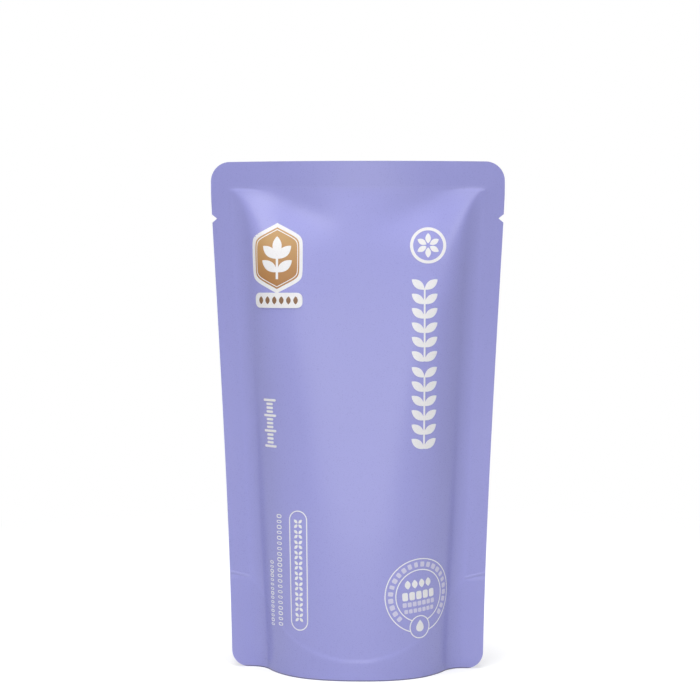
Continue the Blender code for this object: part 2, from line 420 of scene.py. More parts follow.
class Field:
    """A number that varies over a surface, worked out by Math nodes in one node tree."""

    def __init__(self, tree, socket):
        self.tree = tree
        self.socket = socket

    def math(self, operation, *values):
        """What a Math node makes of its values."""
        node = self.tree.nodes.new("ShaderNodeMath")
        node.operation = operation
        for value, socket in zip(values, node.inputs):
            feed(self.tree, value, socket)
        return Field(self.tree, node.outputs[0])

    __add__, __radd__ = both_ways("ADD")
    __sub__, __rsub__ = both_ways("SUBTRACT")
    __mul__, __rmul__ = both_ways("MULTIPLY")
    __truediv__, __rtruediv__ = both_ways("DIVIDE")
    __pow__ = both_ways("POWER")[0]
    least = both_ways("MINIMUM")[0]
    most = both_ways("MAXIMUM")[0]
    below = both_ways("LESS_THAN")[0]

    def of(self, operation):
        """What a Math node makes of the field alone."""
        return self.math(operation, self)

    def __neg__(self):
        return self * -1.0

    def __abs__(self):
        return self.of("ABSOLUTE")

    def root(self):
        """The square root, and 0 where the field is negative."""
        return self.most(0.0).of("SQRT")

    def eased(self, low, high):
        """An eased step from 0 at one value of the field to 1 at another."""
        node = self.tree.nodes.new("ShaderNodeMapRange")
        node.interpolation_type = "SMOOTHSTEP"
        feed(self.tree, self, node.inputs["Value"])
        feed(self.tree, low, node.inputs["From Min"])
        feed(self.tree, high, node.inputs["From Max"])
        return Field(self.tree, node.outputs["Result"])


def blend(low, high, share):
    """A value between two others."""
    return low + (high - low) * share


def fields_of(tree, given, labels):
    """A tree's named inputs as fields, by the keys of their properties."""
    return SimpleNamespace(**{k: Field(tree, given.outputs[n]) for k, n in labels.items()})


# The form of the filled film


def seal_line(size):
    """Height of the top seal's lower edge."""
    return size.film_height - size.top_seal


def panel_half_width(size):
    """Half the width of the film between the side seals."""
    return size.film_width / 2 - size.side_seal


def corner_loss(reach, radius):
    """How far a round corner draws the outline in, at a distance into the corner."""
    return radius - (radius * radius - reach * reach).root()


def outline_half_width(size, v):
    """Half width of the cut film, with its round corners and tear notches."""
    top = corner_loss((v - size.film_height + size.top_radius).most(0.0), size.top_radius)
    base = corner_loss((size.base_radius - v).most(0.0), size.base_radius)
    off_notch = abs(v - size.film_height + size.notch_drop) / (size.notch_opening / 2)
    notch = size.notch_depth * (1.0 - off_notch).most(0.0)
    return size.film_width / 2 - top - base - notch


def across_gusset(size, u, middle):
    """A height that rises from its middle value to the gusset's fold at the side seals."""
    share = (abs(u) / panel_half_width(size)).least(1.0)
    return blend(middle, size.gusset_fold, share * share)


def film_layers(size, u, v):
    """Layers of film under the outer face: the gusset backs each panel below its seal line."""
    depth = across_gusset(size, u, size.base_seal) - v
    return 1.0 + depth.eased(size.film_thickness * -LAYER_BLEND, size.film_thickness * LAYER_BLEND)


def lean_angle(size, v):
    """Angle of the film where it leaves the side seals, a curve through its three values."""
    h = (v / seal_line(size)).least(1.0)
    low = size.base_lean * (1.0 - h) * (1.0 - 2.0 * h)
    middle = size.middle_lean * 4.0 * h * (1.0 - h)
    return low + middle + size.top_lean * h * (2.0 * h - 1.0)


def side_profile(size, u, v):
    """How far a row stands out between its side seals: an arc, with a reverse bend into each."""
    foot = 1.0 - v.eased(0.0, size.base_blend)
    bend = blend(size.side_bend, size.base_bend, foot)
    arc = panel_half_width(size) - bend
    lean = lean_angle(size, v)
    on_arc = (abs(u) / arc).least(1.0)
    on_bend = ((arc + bend - abs(u)) / bend).most(0.0).least(1.0)
    rise = arc / lean * ((lean * on_arc).of("COSINE") - lean.of("COSINE"))
    return rise + bend / lean * (1.0 - (lean * on_bend).of("COSINE"))


def shoulder_profile(size, u, v):
    """How far the film may stand out at a distance below the top seal."""
    drop = (seal_line(size) - v).most(0.0)
    share = (abs(u) / panel_half_width(size)).least(1.0)
    slope = blend(size.shoulder_slope, size.corner_slope, share * share)
    return slope * drop * drop / (drop + size.shoulder_bend)


def hollow(size, u, v):
    """Share by which the two slanting hollows under the top seal flatten the film."""
    side = abs(u) - size.hollow_offset
    drop = seal_line(size) - v - size.hollow_drop
    tilt_cos = size.hollow_tilt.of("COSINE")
    tilt_sin = size.hollow_tilt.of("SINE")
    along = (side * tilt_cos - drop * tilt_sin) / size.hollow_length
    across = (side * tilt_sin + drop * tilt_cos) / size.hollow_width
    spread = along * along + across * across
    return size.hollow_share * (spread / -2.0).of("EXPONENT")


def half_gap(size, u, v):
    """Half the distance between the two panels' inner faces."""
    side = side_profile(size, u, v)
    shoulder = shoulder_profile(size, u, v)
    sharpness = size.shoulder_sharpness
    either = (side**sharpness + shoulder**sharpness) ** (1.0 / sharpness)
    return side * shoulder / either * (1.0 - hollow(size, u, v))


# Node trees


def new_tree(name, inputs, with_geometry=True):
    """A geometry tree with named inputs, and its input and output nodes."""
    tree = bpy.data.node_groups.new(name, "GeometryNodeTree")
    face = tree.interface
    face.new_socket("Geometry", in_out="OUTPUT", socket_type="NodeSocketGeometry")
    if with_geometry:
        face.new_socket("Geometry", in_out="INPUT", socket_type="NodeSocketGeometry")
    for label, kind in inputs:
        face.new_socket(label, in_out="INPUT", socket_type="NodeSocket" + kind)
    return tree, tree.nodes.new("NodeGroupInput"), tree.nodes.new("NodeGroupOutput")


def add_node(tree, kind, values=None, **settings):
    """A node with its settings and its inputs, each a field, a socket or a plain value."""
    node = tree.nodes.new(kind)
    for key, value in settings.items():
        setattr(node, key, value)
    for key, value in (values or {}).items():
        if isinstance(value, bpy.types.NodeSocket):
            tree.links.new(value, node.inputs[key])
        else:
            feed(tree, value, node.inputs[key])
    return node


def film_tree():
    """The filled film as one closed sheet: columns run round it, and rows run from the middle
    of the gusset down inside the skirt, round its rim and up the panel to the top edge."""
    labels = labels_of(PouchForm)
    counts = labels_of(PouchMesh)
    inputs = [(label, "Float") for label in labels.values()]
    inputs += [(label, "Int") for label in counts.values()]
    tree, given, result = new_tree("Filled film", inputs + [("Material", "Material")], False)
    size = fields_of(tree, given, labels)
    count = fields_of(tree, given, counts)
    under_rows = count.arch_rows + count.skirt_rows
    all_rows = under_rows + count.panel_rows + 3.0
    round_columns = count.panel_columns * 2.0

    grid = add_node(tree, "GeometryNodeMeshGrid",
                    {"Vertices X": round_columns + 1.0, "Vertices Y": all_rows})
    index = Field(tree, tree.nodes.new("GeometryNodeInputIndex").outputs[0])
    loop = (index / all_rows).of("FLOOR")
    row = index - loop * all_rows
    closing = 1.0 - loop.below(round_columns - 0.5)
    column = loop * (1.0 - closing)
    back = 1.0 - column.below(count.panel_columns - 0.5)
    along = blend(column, round_columns - 1.0 - column, back)

    under = row.below(under_rows + 0.5)
    v_outer = row_height(size, count, (row - under_rows - 1.0).most(0.0).least(count.panel_rows))
    v_outline = v_outer * (1.0 - under)
    u = column_place(size, count, along, outline_half_width(size, v_outline))

    seal = across_gusset(size, u, size.base_seal)
    ridge = across_gusset(size, u, size.gusset_middle)
    opening = half_gap(size, u, u * 0.0).eased(*(size.film_thickness * n for n in SKIRT_OPENING))
    arch = (row / count.arch_rows).least(1.0)
    up_skirt = (1.0 - (row - count.arch_rows) / count.skirt_rows).most(0.0).least(1.0)
    v_under = seal * up_skirt * opening
    z_under = v_under + (ridge - seal) * (1.0 - arch * arch) * opening

    v = blend(v_outer, v_under, under)
    z = blend(v_outer, z_under, under)
    gap = half_gap(size, u, v)
    top_edge = 1.0 - row.below(all_rows - 1.5)
    outer_reach = gap + size.film_thickness * film_layers(size, u, v)
    reach = blend(outer_reach, gap * arch * opening, under) * (1.0 - top_edge)

    x = drawn_in(tree, count, all_rows, index, loop, row, u, gap, back)
    height = v.eased(size.film_height - size.bow_reach, size.film_height)
    edge_share = u / (size.film_width / 2)
    bow = -size.top_bow * height * (1.0 - edge_share * edge_share)
    place = add_node(tree, "ShaderNodeCombineXYZ",
                     {"X": x, "Y": bow + reach * (2.0 * back - 1.0), "Z": z})

    closed = add_node(tree, "GeometryNodeFieldAtIndex", data_type="FLOAT_VECTOR")
    feed(tree, blend(index, row, closing), closed.inputs["Index"])
    tree.links.new(place.outputs[0], closed.inputs["Value"])

    across = (u / size.film_width + 0.5) / 2.0
    map_u = blend(blend(across, 1.0 - across, back), 1.0, closing)
    map_v = blend(FILM_MAP_BASE + v / size.film_height * (1.0 - FILM_MAP_BASE),
                  row / under_rows * GUSSET_MAP_TOP, under)
    chart = add_node(tree, "ShaderNodeCombineXYZ", {"X": map_u, "Y": map_v})
    at_points = add_node(tree, "GeometryNodeFieldOnDomain", data_type="FLOAT_VECTOR",
                         domain="POINT")
    tree.links.new(chart.outputs[0], at_points.inputs[0])
    mapped = add_node(tree, "GeometryNodeStoreNamedAttribute",
                      {"Geometry": grid.outputs["Mesh"], "Name": "film",
                       "Value": at_points.outputs[0]},
                      data_type="FLOAT2", domain="CORNER")
    formed = add_node(tree, "GeometryNodeSetPosition",
                      {"Geometry": mapped.outputs[0], "Position": closed.outputs[0]})
    welded = add_node(tree, "GeometryNodeMergeByDistance",
                      {"Geometry": formed.outputs[0], "Distance": WELD_DISTANCE})
    finish_tree(tree, welded.outputs[0], given, result)
    return tree


def finish_tree(tree, geometry, given, result):
    """Ends a tree: instances made real, shaded smooth, and given their material."""
    real = add_node(tree, "GeometryNodeRealizeInstances", {"Geometry": geometry})
    rounded = add_node(tree, "GeometryNodeSetShadeSmooth", {"Geometry": real.outputs[0]})
    painted = add_node(tree, "GeometryNodeSetMaterial",
                       {"Geometry": rounded.outputs[0], "Material": given.outputs["Material"]})
    tree.links.new(painted.outputs[0], result.inputs["Geometry"])


def row_height(size, count, step):
    """Height of a panel's row: rows crowd into the corner arcs, and meet the outline's keys."""
    arcs = count.corner_rows
    quarter = math.pi / 2
    turn = (step / arcs).least(1.0) * quarter
    top_turn = ((count.panel_rows - step) / arcs).least(1.0) * quarter
    straight = size.film_height - size.base_radius - size.top_radius
    middle = ((step - arcs) / (count.panel_rows - arcs * 2.0)).most(0.0).least(1.0)
    low = size.base_radius * (1.0 - turn.of("COSINE"))
    high = size.top_radius * top_turn.of("COSINE")
    v = low + straight * middle + high
    half_row = straight / (count.panel_rows - arcs * 2.0) / 2
    notch = size.film_height - size.notch_drop
    for key in (notch, notch - size.notch_opening / 2, notch + size.notch_opening / 2):
        v = blend(v, key, abs(v - key).below(half_row))
    return v


def column_place(size, count, along, edge):
    """Place of a column across the film: most lie on the panel, and a few on the side seals."""
    share = along / (count.panel_columns - 1.0) * 2.0 - 1.0
    inner = panel_half_width(size).least(edge - size.side_seal * SEAL_COLUMN_LEAST)
    on_panel = (abs(share) / (1.0 - SEAL_COLUMN_SHARE)).least(1.0)
    on_seal = (abs(share) - (1.0 - SEAL_COLUMN_SHARE)).most(0.0) / SEAL_COLUMN_SHARE
    return share.of("SIGN") * (on_panel * inner + on_seal * (edge - inner))


def drawn_in(tree, count, all_rows, index, loop, row, u, gap, back):
    """Place of each point along X: film doesn't stretch, so a row's steps keep their length."""
    before = index - all_rows
    step_u = u - at_index(tree, u, before)
    step_gap = gap - at_index(tree, gap, before)
    half = (loop / count.panel_columns).of("FLOOR")
    inside = 1.0 - (loop - half * count.panel_columns).below(0.5)
    step = (step_u * step_u - step_gap * step_gap).root() * inside
    total = add_node(tree, "GeometryNodeAccumulateField",
                     {"Value": step, "Group ID": row + half * all_rows}, data_type="FLOAT")
    sum_to = Field(tree, total.outputs["Leading"])
    whole = Field(tree, total.outputs["Total"])
    return (sum_to - whole / 2.0) * (1.0 - 2.0 * back)


def at_index(tree, value, index):
    """A field's value at another point of the mesh."""
    node = add_node(tree, "GeometryNodeFieldAtIndex", {"Index": index, "Value": value},
                    data_type="FLOAT")
    return Field(tree, node.outputs[0])


def baked(name, tree, values, mesh=None):
    """The plain mesh object that a tree makes from its named inputs and a mesh."""
    source = bpy.data.objects.new(name + "_source", mesh or bpy.data.meshes.new(name))
    bpy.context.scene.collection.objects.link(source)
    modifier = source.modifiers.new("Form", "NODES")
    modifier.node_group = tree
    for item in tree.interface.items_tree:
        if item.in_out == "INPUT" and item.name in values:
            modifier[item.identifier] = values[item.name]
    source.update_tag()
    bpy.context.view_layer.update()
    depsgraph = bpy.context.evaluated_depsgraph_get()
    made = bpy.data.meshes.new_from_object(
        source.evaluated_get(depsgraph), preserve_all_data_layers=True, depsgraph=depsgraph
    )
    made.name = name
    piece = bpy.data.objects.new(name, made)
    bpy.context.scene.collection.objects.link(piece)
    bpy.data.objects.remove(source)
    return piece


# The print: flat artwork in film coordinates, laid on the filled film


LAY_INPUTS = (("Film", "Object"), ("Film width", "Float"), ("Film height", "Float"),
              ("Lift", "Float"), ("Material", "Material"))


def lay_tree():
    """Lays flat artwork on the front panel: its X and Y become places on the film."""
    tree, given, result = new_tree("Lay on film", LAY_INPUTS[:-1])
    film = add_node(tree, "GeometryNodeObjectInfo", {"Object": given.outputs["Film"]})
    flat = add_node(tree, "ShaderNodeSeparateXYZ",
                    {"Vector": tree.nodes.new("GeometryNodeInputPosition").outputs[0]})
    size = fields_of(tree, given, labels_of(PouchForm, PLACE_KEYS))
    across = Field(tree, flat.outputs["X"]) / size.film_width + 0.5
    up = Field(tree, flat.outputs["Y"]) / size.film_height
    chart = add_node(tree, "ShaderNodeCombineXYZ",
                     {"X": across / 2.0, "Y": FILM_MAP_BASE + up * (1.0 - FILM_MAP_BASE)})
    film_map = add_node(tree, "GeometryNodeInputNamedAttribute", {"Name": "film"},
                        data_type="FLOAT_VECTOR")
    found = {}
    for kind in ("Position", "Normal"):
        source = tree.nodes.new("GeometryNodeInput" + kind)
        found[kind] = add_node(
            tree, "GeometryNodeSampleUVSurface",
            {"Mesh": film.outputs["Geometry"], "Value": source.outputs[0],
             "UV Map": film_map.outputs["Attribute"], "Sample UV": chart.outputs[0]},
            data_type="FLOAT_VECTOR",
        )
    raised = add_node(tree, "ShaderNodeVectorMath",
                      {0: found["Normal"].outputs["Value"], 2: found["Position"].outputs["Value"]},
                      operation="MULTIPLY_ADD")
    lift = add_node(tree, "ShaderNodeCombineXYZ", {axis: given.outputs["Lift"] for axis in "XYZ"})
    tree.links.new(lift.outputs[0], raised.inputs[1])
    laid = add_node(tree, "GeometryNodeSetPosition",
                    {"Geometry": given.outputs["Geometry"], "Position": raised.outputs[0]})
    tree.links.new(laid.outputs[0], result.inputs["Geometry"])
    return tree


def laid(tree, geometry, given, result):
    """Ends a print tree: lays its flat geometry on the film and gives it its ink."""
    real = add_node(tree, "GeometryNodeRealizeInstances", {"Geometry": geometry})
    group = tree.nodes.new("GeometryNodeGroup")
    group.node_tree = bpy.data.node_groups["Lay on film"]
    tree.links.new(real.outputs[0], group.inputs["Geometry"])
    for label, _ in LAY_INPUTS[:-1]:
        tree.links.new(given.outputs[label], group.inputs[label])
    finish_tree(tree, group.outputs[0], given, result)


def artwork_tree():
    """Lays one drawn shape on the film."""
    tree, given, result = new_tree("Artwork", LAY_INPUTS)
    laid(tree, given.outputs["Geometry"], given, result)
    return tree


def marks_tree():
    """Repeats a mark along a path, each turned to follow it, and lays them on the film."""
    inputs = [("Mark", "Object"), ("Count", "Int"), ("Shortest", "Float"), ("Seed", "Int")]
    tree, given, result = new_tree("Marks on a path", inputs + list(LAY_INPUTS))
    curve = add_node(tree, "GeometryNodeMeshToCurve", {"Mesh": given.outputs["Geometry"]})
    spread = add_node(tree, "GeometryNodeCurveToPoints",
                      {"Curve": curve.outputs[0], "Count": given.outputs["Count"]}, mode="COUNT")
    turned = add_node(tree, "FunctionNodeAlignRotationToVector",
                      {"Vector": spread.outputs["Tangent"]}, axis="X", pivot_axis="Z")
    drawn = add_node(tree, "FunctionNodeRandomValue",
                     {2: given.outputs["Shortest"], "Seed": given.outputs["Seed"]},
                     data_type="FLOAT")
    share = Field(tree, drawn.outputs[1])
    scale = add_node(tree, "ShaderNodeCombineXYZ", {"X": share, "Y": 1.0, "Z": 1.0})
    mark = add_node(tree, "GeometryNodeObjectInfo", {"Object": given.outputs["Mark"]})
    placed = add_node(tree, "GeometryNodeInstanceOnPoints",
                      {"Points": spread.outputs["Points"], "Instance": mark.outputs["Geometry"],
                       "Rotation": turned.outputs[0], "Scale": scale.outputs[0]})
    laid(tree, placed.outputs[0], given, result)
    return tree


# Flat shapes. A profile gives a height and a half width for each share of the way up


def bar_profile(width, height, radius):
    """A bar with round corners."""
    def profile(share):
        y = -height / 2 * math.cos(math.pi * share)
        into = max(abs(y) - (height / 2 - radius), 0.0)
        return y, width / 2 - radius + math.sqrt(max(radius**2 - into**2, 0.0))
    return profile


def petal_profile(length, width):
    """A leaf with two pointed ends, its foot at zero."""
    def profile(share):
        return length * share, width / 2 * math.sin(math.pi * share) ** PETAL_POWER
    return profile


def drop_profile(length, width):
    """A drop: round at its foot and pointed at its tip."""
    def profile(share):
        y = (1 - math.cos(math.pi * share)) / 2
        return length * (y - DROP_FOOT), width / 2 * DROP_PEAK * math.sqrt(y) * (1 - y)
    return profile


def badge_profile(width, height):
    """An upright badge with six soft sides, pointed at its top and its foot."""
    def profile(share):
        y = -height / 2 * math.cos(math.pi * share)
        slope = (height / 2 - abs(y)) * BADGE_SLOPE
        side = width / 2
        if slope < TINY:
            return y, 0.0
        return y, (slope**-BADGE_SHARPNESS + side**-BADGE_SHARPNESS) ** (-1 / BADGE_SHARPNESS)
    return profile


def fill(drawing, profile, centre=(0, 0), turn=0.0, rows=16, columns=6):
    """Fills a profile with faces, turned and set at a centre."""
    spin = Matrix.Translation((*centre, 0)) @ Matrix.Rotation(turn, 4, "Z")
    lines = []
    for i in range(rows + 1):
        y, half = profile(i / rows)
        line = [Vector((half * (2 * k / columns - 1), y, 0)) for k in range(columns + 1)]
        lines.append([drawing.verts.new(spin @ point) for point in line])
    for low, high in zip(lines, lines[1:]):
        for k in range(columns):
            drawing.faces.new((low[k], low[k + 1], high[k + 1], high[k]))


def line_along(drawing, points, width, closed=False):
    """A line of even width along points."""
    count = len(points)
    edges = []
    for i, point in enumerate(points):
        after = points[(i + 1) % count] if closed or i + 1 < count else point
        before = points[i - 1] if closed or i > 0 else point
        way = (after - before).normalized()
        side = Vector((-way.y, way.x)) * width / 2
        edges.append([drawing.verts.new((*(point + side * s), 0)) for s in (-1, 1)])
    pairs = list(zip(edges, edges[1:]))
    if closed:
        pairs.append((edges[-1], edges[0]))
    for first, second in pairs:
        drawing.faces.new((first[0], second[0], second[1], first[1]))


def arc_points(centre, radius, start=0.0, sweep=2 * math.pi, count=96):
    """Points along an arc, angles from +X towards +Y."""
    turns = [start + sweep * i / count for i in range(count + 1)]
    if abs(sweep) > 2 * math.pi - TINY:
        turns.pop()
    return [Vector(centre) + radius * Vector((math.cos(t), math.sin(t))) for t in turns]


def straight_points(start, end, steps):
    """Points along a straight line, with both its ends."""
    return [start.lerp(end, i / steps) for i in range(steps + 1)]


def upward(turn):
    """The way up, turned from +Y towards -X."""
    return Vector((-math.sin(turn), math.cos(turn)))


def stadium_points(centre, width, height, turn):
    """Points round a capsule."""
    reach = upward(turn) * (height / 2 - width / 2)
    top = arc_points(Vector(centre) + reach, width / 2, turn, math.pi, ROUND_STEPS)
    base = arc_points(Vector(centre) - reach, width / 2, turn + math.pi, math.pi, ROUND_STEPS)
    left = straight_points(top[-1], base[0], SIDE_STEPS)
    right = straight_points(base[-1], top[0], SIDE_STEPS)
    return top + left[1:-1] + base + right[1:-1]


def fill_petals(drawing, petal, centre, eye, count, start, rows, columns):
    """Fills petals round a centre, each with its foot at a distance from it."""
    for i in range(count):
        turn = start + 2 * math.pi * i / count
        foot = Vector(centre) + upward(turn) * eye
        fill(drawing, petal, foot, turn, rows=rows, columns=columns)


def flat_mesh(draw):
    """The mesh that a function draws, with its doubled points joined."""
    mesh = bpy.data.meshes.new("flat")
    drawing = bmesh.new()
    draw(drawing)
    bmesh.ops.remove_doubles(drawing, verts=drawing.verts, dist=WELD_DISTANCE)
    drawing.to_mesh(mesh)
    drawing.free()
    return mesh


def path_mesh(points):
    """A line of edges through flat points."""
    mesh = bpy.data.meshes.new("path")
    edges = [(i, i + 1) for i in range(len(points) - 1)]
    mesh.from_pydata([(*point, 0) for point in points], edges, [])
    return mesh


def lay_values(ink, layer):
    """The inputs that every print tree needs: the film, its size, the ink and its height."""
    form = bpy.context.scene.pouch_form
    step = bpy.context.scene.pouch_print.ink_step
    return {"Film": bpy.data.objects["pouch_film"], **values_of(form, PLACE_KEYS),
            "Lift": step * layer, "Material": print_ink(ink)}


def finish_print(piece):
    """Gives a laid print the ink's own thickness, and sets it on the pouch."""
    body = piece.modifiers.new("Ink", "SOLIDIFY")
    body.thickness = bpy.context.scene.pouch_print.ink_body
    body.offset = -1.0
    bpy.context.view_layer.update()
    depsgraph = bpy.context.evaluated_depsgraph_get()
    made = bpy.data.meshes.new_from_object(piece.evaluated_get(depsgraph), depsgraph=depsgraph)
    piece.modifiers.clear()
    made.set_sharp_from_angle(angle=INK_EDGE)
    piece.data = made
    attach(piece, "root")


def print_shape(name, draw, ink, layer=1):
    """One drawn shape, printed on the film."""
    finish_print(baked(name, tree_named("Artwork", artwork_tree), lay_values(ink, layer),
                       flat_mesh(draw)))


def print_marks(name, draw_mark, points, count, ink, layer=1, shortest=1.0, seed=0):
    """A mark, drawn with its length along X, repeated along a path on the film."""
    mark = bpy.data.objects.new("mark", flat_mesh(draw_mark))
    bpy.context.scene.collection.objects.link(mark)
    values = lay_values(ink, layer)
    values.update({"Mark": mark, "Count": count, "Shortest": shortest, "Seed": seed})
    finish_print(baked(name, tree_named("Marks on a path", marks_tree), values,
                       path_mesh(points)))
    bpy.data.objects.remove(mark)


def tree_named(name, make):
    """A node tree that is built once and used again."""
    if "Lay on film" not in bpy.data.node_groups:
        lay_tree()
    return bpy.data.node_groups.get(name) or make()


# Materials


def shader_group(name, inputs, outputs):
    """A shader group with named inputs and outputs, and its two end nodes."""
    group = bpy.data.node_groups.new(name, "ShaderNodeTree")
    for label, default in inputs:
        socket = group.interface.new_socket(label, in_out="INPUT", socket_type="NodeSocketFloat")
        socket.default_value = default
    for label in outputs:
        group.interface.new_socket(label, in_out="OUTPUT", socket_type="NodeSocketFloat")
    return group, group.nodes.new("NodeGroupInput"), group.nodes.new("NodeGroupOutput")


def place_group():
    """How far a point of the film lies from the middle and up the panel, from its map."""
    group, given, result = shader_group(
        "Place on film", defaults_of(PouchForm, PLACE_KEYS), ("Across", "Up", "Panel")
    )
    size = fields_of(group, given, labels_of(PouchForm, PLACE_KEYS))
    chart = add_node(group, "ShaderNodeUVMap", uv_map="film")
    split = add_node(group, "ShaderNodeSeparateXYZ", {"Vector": chart.outputs[0]})
    turns = Field(group, split.outputs["X"]) * 2.0
    rise = Field(group, split.outputs["Y"])
    across = abs(turns.of("FRACT") - 0.5) * size.film_width
    up = (rise - FILM_MAP_BASE) / (1.0 - FILM_MAP_BASE) * size.film_height
    feed(group, across, result.inputs["Across"])
    feed(group, up, result.inputs["Up"])
    feed(group, 1.0 - rise.below(GUSSET_MAP_TOP + MAP_GAP), result.inputs["Panel"])
    return group


def seal_group():
    """Where the film is heat-sealed, the fine ridge along the top and base seals, the swell under
    the top seal's two ends, the crease that the gusset's fold leaves in the side seals, and the
    thin band along the base edge where a contact shadow is painted."""
    places = [("Across", 0.0), ("Up", 0.0)]
    sizes = defaults_of(PouchForm, SEAL_KEYS) + defaults_of(PouchFinish, EDGE_KEYS)
    group, given, result = shader_group(
        "Heat seals", places + sizes, ("Seal", "Ridge", "Corner", "Crease", "Cut")
    )
    size = fields_of(group, given, labels_of(PouchForm, SEAL_KEYS))
    edge = fields_of(group, given, labels_of(PouchFinish, EDGE_KEYS))
    across = Field(group, given.outputs["Across"])
    up = Field(group, given.outputs["Up"])
    soft = edge.seal_edge
    into_side = across - panel_half_width(size)
    into_top = up - seal_line(size)
    into_base = across_gusset(size, across, size.base_seal) - up
    depth = into_side.most(into_top).most(into_base)
    feed(group, depth.eased(soft * -1.0, soft), result.inputs["Seal"])
    top_edge = 1.0 - abs(into_top).eased(0.0, soft)
    base_edge = 1.0 - abs(into_base).eased(0.0, soft)
    between = 1.0 - into_side.eased(soft * -1.0, soft)
    ridge = (top_edge + base_edge * BASE_RIDGE_SHARE) * between
    feed(group, ridge, result.inputs["Ridge"])
    begins, full, falls, ends = (soft * height for height in SWELL_HEIGHTS)
    swell = (1.0 - into_top.eased(falls, ends)) * into_top.eased(begins, full)
    corner = (across / panel_half_width(size)).eased(*SWELL_START) * between
    feed(group, swell * corner, result.inputs["Corner"])
    fall = (size.film_width / 2 - across) * edge.crease_slant
    off_crease = abs(up - size.gusset_fold - edge.crease_rise + fall)
    in_seal = into_side.eased(soft * CREASE_START, soft)
    crease = (1.0 - off_crease.eased(soft * CREASE_FLAT, soft)) * in_seal
    feed(group, crease, result.inputs["Crease"])
    # Painted contact shadow: a thin dark band along the base edge, where the film meets the floor
    shade_low = edge.base_shade_width * (1.0 - BASE_SHADE_SOFTNESS)
    shade_high = edge.base_shade_width * (1.0 + BASE_SHADE_SOFTNESS)
    feed(group, 1.0 - up.eased(shade_low, shade_high), result.inputs["Cut"])
    return group


def grain_group():
    """The fine grain of matt laminate, its slow unevenness and its ripples."""
    group, given, result = shader_group(
        "Matt grain", defaults_of(PouchFinish, GRAIN_KEYS), GRAIN_LAYERS
    )
    size = fields_of(group, given, labels_of(PouchFinish, GRAIN_KEYS))
    spot = group.nodes.new("ShaderNodeTexCoord").outputs["Object"]
    for name, (key, detail) in GRAIN_LAYERS.items():
        noise = add_node(group, "ShaderNodeTexNoise",
                         {"Vector": spot, "Scale": 1.0 / getattr(size, key), "Detail": detail})
        group.links.new(noise.outputs["Fac"], result.inputs[name])
    return group


def grouped(tree, name, make, values):
    """A shader group in a tree, with its inputs set; returns its outputs as fields."""
    node = tree.nodes.new("ShaderNodeGroup")
    node.node_tree = bpy.data.node_groups.get(name) or make()
    for label, value in values.items():
        feed(tree, value, node.inputs[label])
    return SimpleNamespace(**{out.name.lower(): Field(tree, out) for out in node.outputs})


def mixed(tree, low, high, share):
    """A colour between two others."""
    node = add_node(tree, "ShaderNodeMix", {0: share, 6: low, 7: high}, data_type="RGBA")
    return node.outputs[2]


def varied(noise, amount):
    """A noise from 0 to 1 as a shift to either side."""
    return (noise - 0.5) * amount


def new_material(name):
    """A material, its node tree and its shader."""
    made = bpy.data.materials.new(name)
    made.use_nodes = True
    return made, made.node_tree, made.node_tree.nodes["Principled BSDF"]


def bumped(tree, shader, *layers):
    """Lays bumps one over another: each a height, and the metres that a height of 1 stands for."""
    below = None
    for height, distance in layers:
        bump = add_node(tree, "ShaderNodeBump", {"Height": height, "Distance": distance})
        if below:
            tree.links.new(below, bump.inputs["Normal"])
        below = bump.outputs[0]
    tree.links.new(below, shader.inputs["Normal"])


def film_material():
    """Matt lilac laminate: darker where sealed, partly painted shade; painted highlights on the
    seal ridges and crease; a painted contact shadow along the base edge.
    """
    form = bpy.context.scene.pouch_form
    finish = bpy.context.scene.pouch_finish
    made, tree, shader = new_material("lilac_film")
    spot = grouped(tree, "Place on film", place_group, values_of(form, PLACE_KEYS))
    seals = grouped(tree, "Heat seals", seal_group, {
        "Across": spot.across, "Up": spot.up,
        **values_of(form, SEAL_KEYS), **values_of(finish, EDGE_KEYS),
    })
    grain = grouped(tree, "Matt grain", grain_group, values_of(finish, GRAIN_KEYS))
    # Sealed film is mixed a little darker: partly its own pressed tone, partly painted shade
    colour = mixed(tree, finish.film, finish.seal, seals.seal * spot.panel)
    colour = mixed(tree, finish.gusset, colour, spot.panel)
    # Painted highlights: the seals' ridges and the gusset's crease are mixed paler, as where they
    # catch light; the slow patches are the laminate's own uneven tone
    pressed = (seals.ridge * finish.ridge_highlight + seals.crease * finish.crease_highlight) * spot.panel
    paler = pressed + varied(grain.patches, finish.patch_tone)
    colour = mixed(tree, colour, WHITE, paler.most(0.0))
    # Painted contact shadow along the film's base edge
    colour = mixed(tree, colour, finish.base_shade_tone, seals.cut * spot.panel * finish.edge_share)
    tree.links.new(colour, shader.inputs["Base Color"])
    rough = finish.roughness + varied(grain.grain, finish.roughness_spread)
    feed(tree, rough, shader.inputs["Roughness"])
    relief = (seals.ridge * finish.ridge_depth + seals.corner * finish.corner_depth
              + seals.crease * finish.crease_depth) * spot.panel
    bumped(tree, shader, (grain.grain, finish.grain_depth), (grain.ripples, finish.ripple_depth),
           (relief, 1.0))
    return made


def ink_material(name, top, base, rough):
    """Printed ink: one colour at the badge's top, running to another at its foot and below it,
    and a little uneven, as print on matt film is."""
    finish = bpy.context.scene.pouch_finish
    art = bpy.context.scene.pouch_print
    made, tree, shader = new_material(name)
    spot = tree.nodes.new("ShaderNodeTexCoord").outputs["Object"]
    rise = Field(tree, add_node(tree, "ShaderNodeSeparateXYZ", {"Vector": spot}).outputs["Z"])
    grain = grouped(tree, "Matt grain", grain_group,
                    {"Grain size": finish.grain_size, "Patch size": finish.ink_patch_size})
    foot = art.badge[1] - art.badge_height / 2
    share = rise.eased(foot, foot + art.badge_height)
    colour = mixed(tree, base, top, share + varied(grain.patches, finish.ink_patch_tone))
    tree.links.new(colour, shader.inputs["Base Color"])
    feed(tree, rough + varied(grain.grain, finish.ink_spread), shader.inputs["Roughness"])
    bumped(tree, shader, (grain.grain, finish.grain_depth))
    return made


